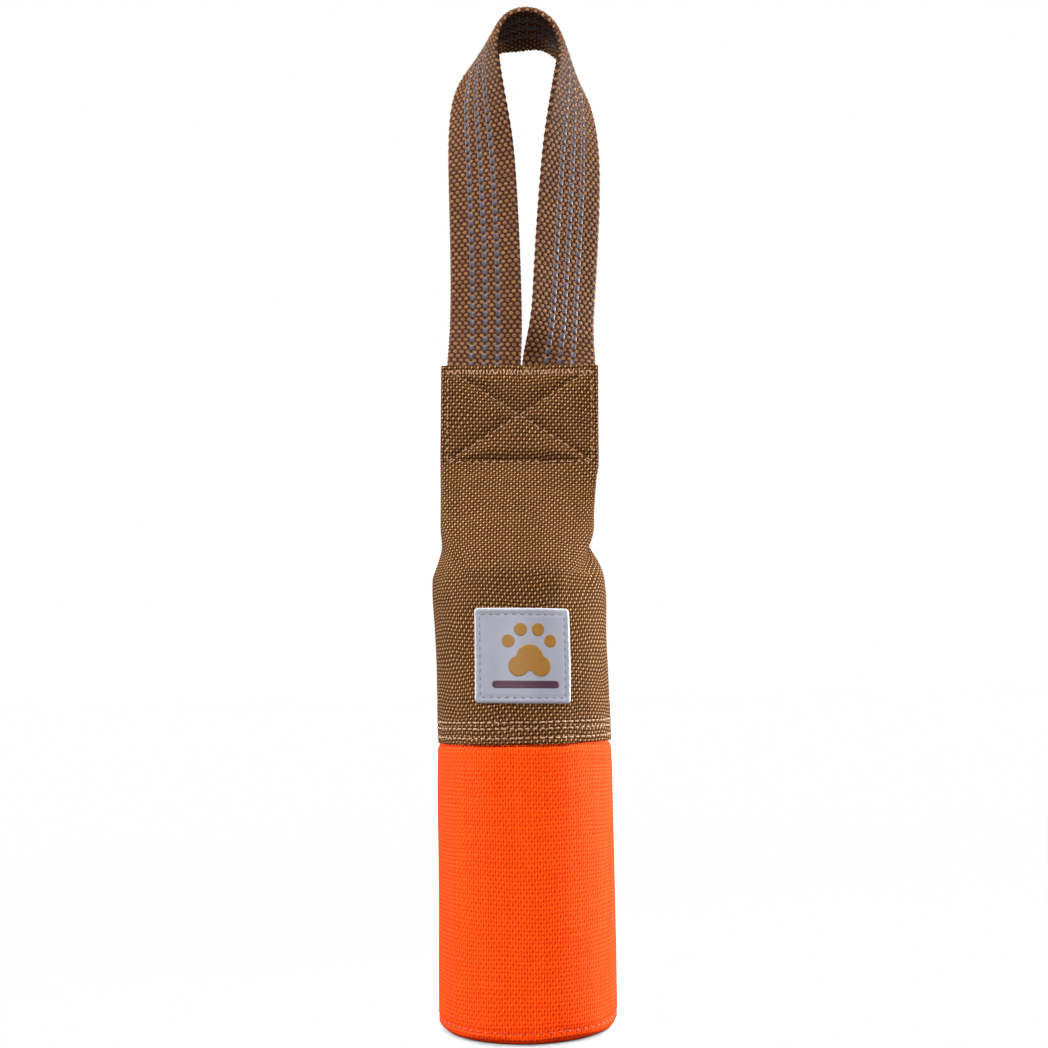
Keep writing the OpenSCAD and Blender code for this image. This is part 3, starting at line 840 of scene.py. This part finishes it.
class Nodes:
    """A material's node tree, with short calls for the maths on it."""

    def __init__(self, name):
        self.material = bpy.data.materials.new(name)
        self.material.use_nodes = True
        self.tree = self.material.node_tree
        self.shader = self.tree.nodes["Principled BSDF"]

    def new(self, kind, **values):
        node = self.tree.nodes.new(kind)
        for key, value in values.items():
            setattr(node, key, value)
        return node

    def link(self, a, b):
        if isinstance(a, (int, float, tuple)):
            b.default_value = a
        else:
            self.tree.links.new(a, b)

    def math(self, operation, *inputs):
        node = self.new("ShaderNodeMath", operation=operation)
        for socket, value in zip(node.inputs, inputs):
            self.link(value, socket)
        return node.outputs[0]

    add = partialmethod(math, "ADD")
    sub = partialmethod(math, "SUBTRACT")
    mul = partialmethod(math, "MULTIPLY")
    div = partialmethod(math, "DIVIDE")
    sine = partialmethod(math, "SINE")
    floor = partialmethod(math, "FLOOR")
    power = partialmethod(math, "POWER")

    def place(self):
        """The cloth's own coordinates in millimetres."""
        split = self.new("ShaderNodeSeparateXYZ")
        self.link(self.new("ShaderNodeUVMap", uv_map="weave").outputs[0], split.inputs[0])
        return split.outputs[0], split.outputs[1]

    def vector(self, x, y, z=0.0):
        node = self.new("ShaderNodeCombineXYZ")
        for socket, value in zip(node.inputs, (x, y, z)):
            self.link(value, socket)
        return node.outputs[0]

    def noise(self, vector, scale, detail=2.0, roughness=0.5):
        node = self.new("ShaderNodeTexNoise")
        self.link(vector, node.inputs["Vector"])
        node.inputs["Scale"].default_value = scale
        node.inputs["Detail"].default_value = detail
        node.inputs["Roughness"].default_value = roughness
        return node.outputs[0]

    def cell_noise(self, vector):
        node = self.new("ShaderNodeTexWhiteNoise", noise_dimensions="3D")
        self.link(vector, node.inputs["Vector"])
        return node.outputs[0]

    def ramp(self, value, low, high, ends=(BLACK, WHITE)):
        node = self.new("ShaderNodeValToRGB")
        for element, at, colour in zip(node.color_ramp.elements, (low, high), ends):
            element.position, element.color = at, colour
        self.link(value, node.inputs[0])
        return node.outputs[0]

    def mix(self, share, a, b, kind="MIX"):
        node = self.new("ShaderNodeMix", data_type="RGBA", blend_type=kind)
        self.link(share, node.inputs[0])
        self.link(a, node.inputs[6])
        self.link(b, node.inputs[7])
        return node.outputs[2]

    def bump(self, height, distance):
        node = self.new("ShaderNodeBump")
        node.inputs["Strength"].default_value = 1.0
        node.inputs["Distance"].default_value = distance
        self.link(height, node.inputs["Height"])
        return node.outputs[0]

    def finish(self, colour, roughness, normal=None, **constants):
        self.link(colour, self.shader.inputs["Base Color"])
        self.link(roughness, self.shader.inputs["Roughness"])
        if normal is not None:
            self.link(normal, self.shader.inputs["Normal"])
        for key, value in constants.items():
            self.shader.inputs[key.replace("_", " ")].default_value = value
        return self.material


def weave(n, x, y, pitch_x, pitch_y, slack, dip):
    """A plain weave. Returns its height, both yarns' crowns, and a random value for the yarn on top.

    dip is how quickly a warp yarn goes down at the ends of its crown."""
    bow = n.noise(n.vector(x, y), 0.035, 2)
    drift = n.noise(n.vector(x, y, 9.0), 0.12, 2)
    fine = n.noise(n.vector(x, y), 0.8, 1)
    u = n.add(n.div(x, pitch_x), n.mul(n.sub(drift, 0.5), 1.2 * slack))
    v = n.add(n.div(y, pitch_y), n.mul(n.sub(bow, 0.5), 5.0 * slack))
    v = n.add(v, n.mul(n.sub(fine, 0.5), 0.25))
    su = n.sine(n.mul(u, math.pi))
    sv = n.sine(n.mul(v, math.pi))
    twist = n.mul(n.sub(n.math("FRACT", v), 0.5), 0.42)
    a = n.math("ABSOLUTE", n.sine(n.mul(n.sub(u, twist), math.pi)))
    b = n.math("ABSOLUTE", sv)
    side_u, side_v = n.math("SIGN", su), n.math("SIGN", sv)
    warp_up = n.add(0.5, n.mul(n.mul(side_u, sv), 0.5))
    weft_up = n.sub(0.5, n.mul(n.mul(side_v, su), 0.5))
    warp = n.mul(n.power(a, 0.7), n.power(warp_up, dip))
    weft = n.mul(n.power(b, 0.75 * dip), weft_up)
    height = n.math("MAXIMUM", warp, weft)
    over = n.math("GREATER_THAN", warp, weft)
    yarn_u = n.cell_noise(n.vector(n.floor(u), 3.0, n.floor(n.mul(v, 0.04))))
    yarn_v = n.cell_noise(n.vector(n.floor(n.mul(u, 0.04)), n.floor(v), 7.0))
    yarn = n.add(n.mul(yarn_u, over),
                  n.mul(yarn_v, n.sub(1.0, over)))
    return height, warp, weft, yarn


def canvas(name, gap_shade, low, warp_top_highlight, weft_top, pitch_x, pitch_y, slack, dip, soil, gloss, depth):
    """Coated polyester canvas: a painted highlight on the crowns of one set of yarns, painted shade in the
    gaps between yarns, fibres and slight soiling.
    """
    n = Nodes(name)
    x, y = n.place()
    height, warp, weft, yarn = weave(n, x, y, pitch_x, pitch_y, slack, dip)
    # painted shade: the gaps between the yarns take a dark colour, where shade would fall
    colour = n.mix(n.ramp(height, 0.28, 0.62), gap_shade, low)
    colour = n.mix(n.ramp(weft, 0.62, 0.98), colour, weft_top)
    # painted highlight: the warp crowns take a colour much paler than the yarn itself
    colour = n.mix(n.ramp(warp, 0.70, 0.98), colour, warp_top_highlight)
    shade = n.add(0.88, n.mul(yarn, 0.24))
    patch = n.noise(n.vector(x, y), 0.05, 4, 0.6)
    shade = n.mul(shade, n.add(1.0 - soil / 2, n.mul(patch, soil)))
    colour = n.mix(1.0, colour, n.vector(shade, shade, shade), "MULTIPLY")
    fibres = n.noise(n.vector(n.mul(x, 6.0), n.mul(y, 6.0)), 1.3, 2, 0.7)
    relief = n.add(height, n.mul(fibres, 0.10))
    rough = n.sub(0.95, n.mul(height, 0.20))
    return n.finish(colour, rough, n.bump(relief, depth * MM), Specular_IOR_Level=gloss)


def thread(name, dark, light):
    """Twisted sewing thread."""
    n = Nodes(name)
    x, y = n.place()
    ply = n.add(n.mul(x, 4 * math.pi), n.mul(y, 2 * math.pi / 0.42))
    wave = n.add(n.mul(n.sine(ply), 0.5), 0.5)
    fuzz = n.noise(n.vector(n.mul(x, 9.0), y), 3.0, 2)
    height = n.add(n.power(wave, 0.6), n.mul(fuzz, 0.3))
    colour = n.mix(n.ramp(height, 0.1, 0.9), dark, light)
    return n.finish(colour, 0.5, n.bump(height, 0.06 * MM), Sheen_Weight=0.2, Specular_IOR_Level=0.45)


def webbing_floats(n, x, y):
    """The same floats as the mesh has, for colour in the gaps, and a random value for each."""
    under = n.math("GREATER_THAN", x, UNDER / 2)
    heights, chances = [], []
    for shift in (0.0, 0.5):
        across = n.add(n.div(x, RIB), 0.5 * RIBS + 0.5 + shift)
        along = n.add(n.add(n.div(y, FLOAT_PITCH), shift),
                       n.mul(under, 0.5))
        to, up = n.math("ROUND", across), n.math("ROUND", along)
        dx = n.mul(n.sub(across, to), 2.4)
        dy = n.mul(n.sub(along, up), 3.9)
        d = n.add(n.mul(dx, dx), n.mul(dy, dy))
        heights.append(n.math("MAXIMUM", n.sub(1.0, d), 0.0))
        chances.append(n.cell_noise(n.vector(to, up, shift + 1.0)))
    first = n.math("GREATER_THAN", heights[0], heights[1])
    chance = n.add(n.mul(chances[0], first),
                    n.mul(chances[1], n.sub(1.0, first)))
    return n.power(n.math("MAXIMUM", heights[0], heights[1]), 0.5), chance


def webbing_material():
    """Brown nylon webbing: rounded floats of fine filament, with painted highlights on their strands and
    painted shade in the dark gaps between them.
    """
    n = Nodes("webbing_nylon")
    x, y = n.place()
    height, chance = webbing_floats(n, x, y)
    strands = n.noise(n.vector(n.mul(x, 5.5), n.mul(y, 2.2)), 1.0, 3, 0.7)
    top = n.mix(chance, srgb(84, 48, 22), srgb(122, 80, 42))
    # painted highlight: strands on the floats' tops take a pale colour
    top = n.mix(n.ramp(strands, 0.46, 0.74), top, srgb(176, 136, 102))
    # painted shade: the gaps between the floats take a dark colour
    colour = n.mix(n.ramp(height, 0.3, 0.9), srgb(50, 20, 6), top)
    relief = n.add(n.mul(strands, 0.6), height)
    return n.finish(colour, 0.5, n.bump(relief, 0.3 * MM), Specular_IOR_Level=0.1)


def yarn_material():
    """Pale reflective yarn: flat filaments side by side."""
    n = Nodes("reflective_yarn")
    x, y = n.place()
    lines = n.sine(n.mul(x, 2 * math.pi / 0.42))
    grain = n.noise(n.vector(n.mul(x, 4.0), y), 1.6, 3, 0.7)
    height = n.add(n.mul(lines, 0.25), grain)
    patch = n.cell_noise(n.vector(n.floor(n.div(y, FLOAT_PITCH)),
                                  n.floor(n.div(x, RIB)), 2.0))
    colour = n.mix(n.ramp(height, 0.3, 0.85),
                   srgb(38, 31, 34), srgb(104, 93, 98))
    colour = n.mix(n.mul(patch, 0.35), colour, srgb(80, 64, 66))
    return n.finish(colour, 0.42, n.bump(height, 0.05 * MM), Metallic=0.1, Specular_IOR_Level=0.35)


def film_material():
    """The grey label: a matt reflective film on cloth, pale at its cut edge."""
    n = Nodes("label_film")
    x, y = n.place()
    rim_x = n.sub(LABEL_HALF_W, n.math("ABSOLUTE", x))
    rim_y = n.sub(LABEL_HALF_H, n.math("ABSOLUTE", y))
    rim = n.math("MINIMUM", rim_x, rim_y)
    beads = n.noise(n.vector(x, y), 14.0, 2, 0.8)
    cloth = n.noise(n.vector(x, y), 0.16, 3, 0.6)
    colour = n.mix(cloth, srgb(116, 117, 127), srgb(130, 131, 141))
    colour = n.mix(n.mul(beads, 0.35), colour, srgb(148, 149, 159))
    edge = n.ramp(n.mul(n.add(rim, 0.3), 0.9), 0.25, 0.75, (WHITE, BLACK))
    colour = n.mix(edge, colour, srgb(182, 182, 186))
    grid = n.mul(n.sine(n.mul(x, 9.0)), n.sine(n.mul(y, 9.0)))
    relief = n.add(n.mul(beads, 0.6), n.mul(grid, 0.12))
    return n.finish(colour, 0.42, n.bump(relief, 0.03 * MM), Specular_IOR_Level=0.35)


def ink_material(name, colour_a, colour_b):
    """Screen-printed ink, a little uneven."""
    n = Nodes(name)
    x, y = n.place()
    grain = n.noise(n.vector(x, y), 6.0, 3, 0.7)
    cloud = n.noise(n.vector(x, y), 0.35, 2)
    colour = n.mix(n.add(n.mul(grain, 0.5), n.mul(cloud, 0.5)), colour_a, colour_b)
    return n.finish(colour, 0.5, n.bump(grain, 0.02 * MM), Specular_IOR_Level=0.4)


def foam_material():
    """Closed-cell foam with a cut skin."""
    n = Nodes("core_foam")
    x, y = n.place()
    cells = n.new("ShaderNodeTexVoronoi", feature="DISTANCE_TO_EDGE")
    n.link(n.vector(x, y), cells.inputs["Vector"])
    cells.inputs["Scale"].default_value = 1.4
    wall = n.ramp(cells.outputs["Distance"], 0.0, 0.3)
    colour = n.mix(wall, srgb(214, 208, 190), srgb(240, 236, 224))
    return n.finish(colour, 0.85, n.bump(cells.outputs["Distance"], 0.15 * MM), Specular_IOR_Level=0.3)


def floor_material():
    n = Nodes("pale_floor")
    return n.finish((0.8, 0.8, 0.8, 1), 0.9, Specular_IOR_Level=0.1)


# ---------- stage ----------

def camera():
    data = bpy.data.cameras.new("camera")
    data.sensor_width, data.lens = 36, 46.6
    data.clip_start, data.clip_end = 0.01, 20
    cam = add_object("camera", data)
    pitch, roll = math.radians(6.53), math.radians(1.1)
    cam.matrix_world = (Matrix.Translation(Vector((1.76, -466.3, 113.2)) * MM)
                        @ Matrix.Rotation(math.pi / 2 + pitch, 4, "X") @ Matrix.Rotation(-roll, 4, "Z"))
    bpy.context.scene.camera = cam


def area_light(name, place, target, size, power, spread, floor):
    """A softbox for the object alone: the floor is left out of it, so that it stays even."""
    data = bpy.data.lights.new(name, "AREA")
    data.shape, data.size, data.size_y = "RECTANGLE", size[0], size[1]
    data.energy, data.spread = power, math.radians(spread)
    light = add_object(name, data)
    skipped = bpy.data.collections.new(f"{name}_skips")
    skipped.objects.link(floor)
    skipped.collection_objects[0].light_linking.link_state = "EXCLUDE"
    light.light_linking.receiver_collection = skipped
    light.location = place
    direction = Vector(target) - Vector(place)
    light.rotation_euler = direction.to_track_quat("-Z", "Y").to_euler()


def stage():
    """The floor, which shows only the shadow, the white surroundings and four softboxes."""
    mesh = bpy.data.meshes.new("floor")
    r = 6                                  # half the floor's side, in metres
    mesh.from_pydata([(-r, -r, 0), (r, -r, 0), (r, r, 0), (-r, r, 0)], [], [(0, 1, 2, 3)])
    floor = add_object("floor", mesh)
    floor.location.z = -0.0002
    floor.is_shadow_catcher = True
    mesh.materials.append(floor_material())
    world = bpy.data.worlds.new("studio")
    bpy.context.scene.world = world
    world.use_nodes = True
    tree = world.node_tree
    back = tree.nodes["Background"]
    seen = tree.nodes.new("ShaderNodeLightPath").outputs["Is Camera Ray"]
    bright = tree.nodes.new("ShaderNodeMapRange")
    bright.inputs["To Min"].default_value, bright.inputs["To Max"].default_value = 0.26, 1.0
    tree.links.new(seen, bright.inputs["Value"])
    tree.links.new(bright.outputs[0], back.inputs[1])
    back.inputs[0].default_value = (1, 1, 1, 1)
    bpy.context.scene.view_settings.view_transform = "Standard"
    area_light("key_above", (-0.06, -0.70, 1.00), (0, 0, 0.15), (0.5, 0.35), 18.3, 160, floor)
    area_light("front_low", (-0.20, -0.84, 0.10), (0, 0, 0.05), (0.3, 0.2), 0.22, 45, floor)
    area_light("left_side", (-0.64, 0.19, 0.26), (0, 0, 0.12), (0.2, 0.5), 1.75, 80, floor)
    area_light("right_side", (0.63, 0.20, 0.22), (0, 0, 0.09), (0.2, 0.4), 2.7, 70, floor)


# ---------- the object ----------

def build():
    # in each canvas, the first colour is painted shade for the gaps between yarns, the third a painted
    # highlight on the warp crowns
    brown = canvas("brown_canvas", srgb(22, 7, 0), srgb(78, 48, 20), srgb(188, 146, 108), srgb(98, 62, 32),
                   pitch_x=0.97, pitch_y=1.17, slack=1.0, dip=0.8, soil=0.20, gloss=0.03, depth=0.30)
    orange = canvas("orange_canvas", srgb(124, 14, 0), srgb(228, 58, 0), srgb(252, 92, 22), srgb(242, 71, 4),
                    pitch_x=0.90, pitch_y=1.30, slack=0.5, dip=0.45, soil=0.08, gloss=0.06, depth=0.20)
    brown_thread = thread("brown_thread", srgb(60, 38, 22), srgb(168, 128, 96))
    tan_thread = thread("tan_thread", srgb(98, 68, 42), srgb(172, 134, 98))
    orange_thread = thread("orange_thread", srgb(110, 14, 0), srgb(180, 38, 6))
    grey_thread = thread("grey_thread", srgb(52, 54, 66), srgb(112, 114, 126))

    sleeve, cloth = brown_canvas(brown)
    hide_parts("brown_sleeve", "hem_turn_up", "waist_fabric", "closure_front_panel",
                "closure_back_panel", "left_gusset", "right_gusset")
    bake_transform(sleeve)

    orange_sleeve, orange_cloth, orange_z, orange_cut = orange_canvas(orange)
    disc = base_disc(orange)
    core = foam_core(foam_material())
    on_bumper = [(orange_sleeve, "orange_sleeve", "orange_canvas"), (disc, "base_disc", "orange_canvas"),
                 (core, "foam_core", "foam")]
    for name, row in zip(HEM_NAMES, HEM_ROWS):
        obj = ring_stitches(f"hem_stitches_{name}", cloth, row - HEM_Z, 2.5, 0.72, tan_thread)
        on_bumper.append((obj, f"hem_thread_{name}", "tan_thread"))
    base_v = float(np.interp(BASE_ROW_Z, orange_z, orange_cut))
    obj = ring_stitches("base_seam_stitches", orange_cloth, base_v, 3.0, 0.6, orange_thread)
    on_bumper.append((obj, "base_seam_thread", "orange_thread"))
    top_v = float(np.interp(HEM_Z - 3, orange_z, orange_cut))
    obj = seam_stitches("orange_seam_stitches", orange_cloth, orange_cloth.circumference / 2 - 1.6,
                        base_v + 3, top_v, 2.9, 0.7, orange_thread)
    on_bumper.append((obj, "orange_seam_thread", "orange_thread"))
    obj = seam_stitches("brown_seam_stitches", cloth, PERIMETER / 2 - 1.6, HEM_TOP - HEM_Z + 1.5,
                        V_WAIST - 8, 2.7, 0.7, brown_thread)
    on_bumper.append((obj, "brown_seam_thread", "brown_thread"))
    on_bumper.append((label_patch(cloth, film_material()), "label_patch", "label_film"))
    on_bumper.append((label_stitches(cloth, grey_thread), "label_thread", "grey_thread"))
    ochre = ink_material("ochre_ink", srgb(114, 77, 16), srgb(134, 93, 26))
    on_bumper.append((emblem(cloth, ochre), "emblem_print", "ochre_print"))
    plum = ink_material("plum_ink", srgb(46, 19, 36), srgb(66, 34, 50))
    on_bumper.append((bar(cloth, plum), "bar_print", "plum_print"))
    for obj, node, slot in on_bumper:
        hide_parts(node)
        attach(obj, "bumper")

    for name, back in (("closure_front", False), ("closure_back", True)):
        obj = box_stitches(f"{name}_stitches", cloth, back, brown_thread)
        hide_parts(f"{name}_thread")
        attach(obj, "closure")

    strap = Strap()
    web = webbing(strap, webbing_material())
    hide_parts("handle_strap", "left_strap_tail", "right_strap_tail")
    yarns = reflective_yarns(strap, yarn_material())
    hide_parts("reflective_yarns")
    for obj in (web, yarns):
        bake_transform(obj)


camera()
stage()
build()
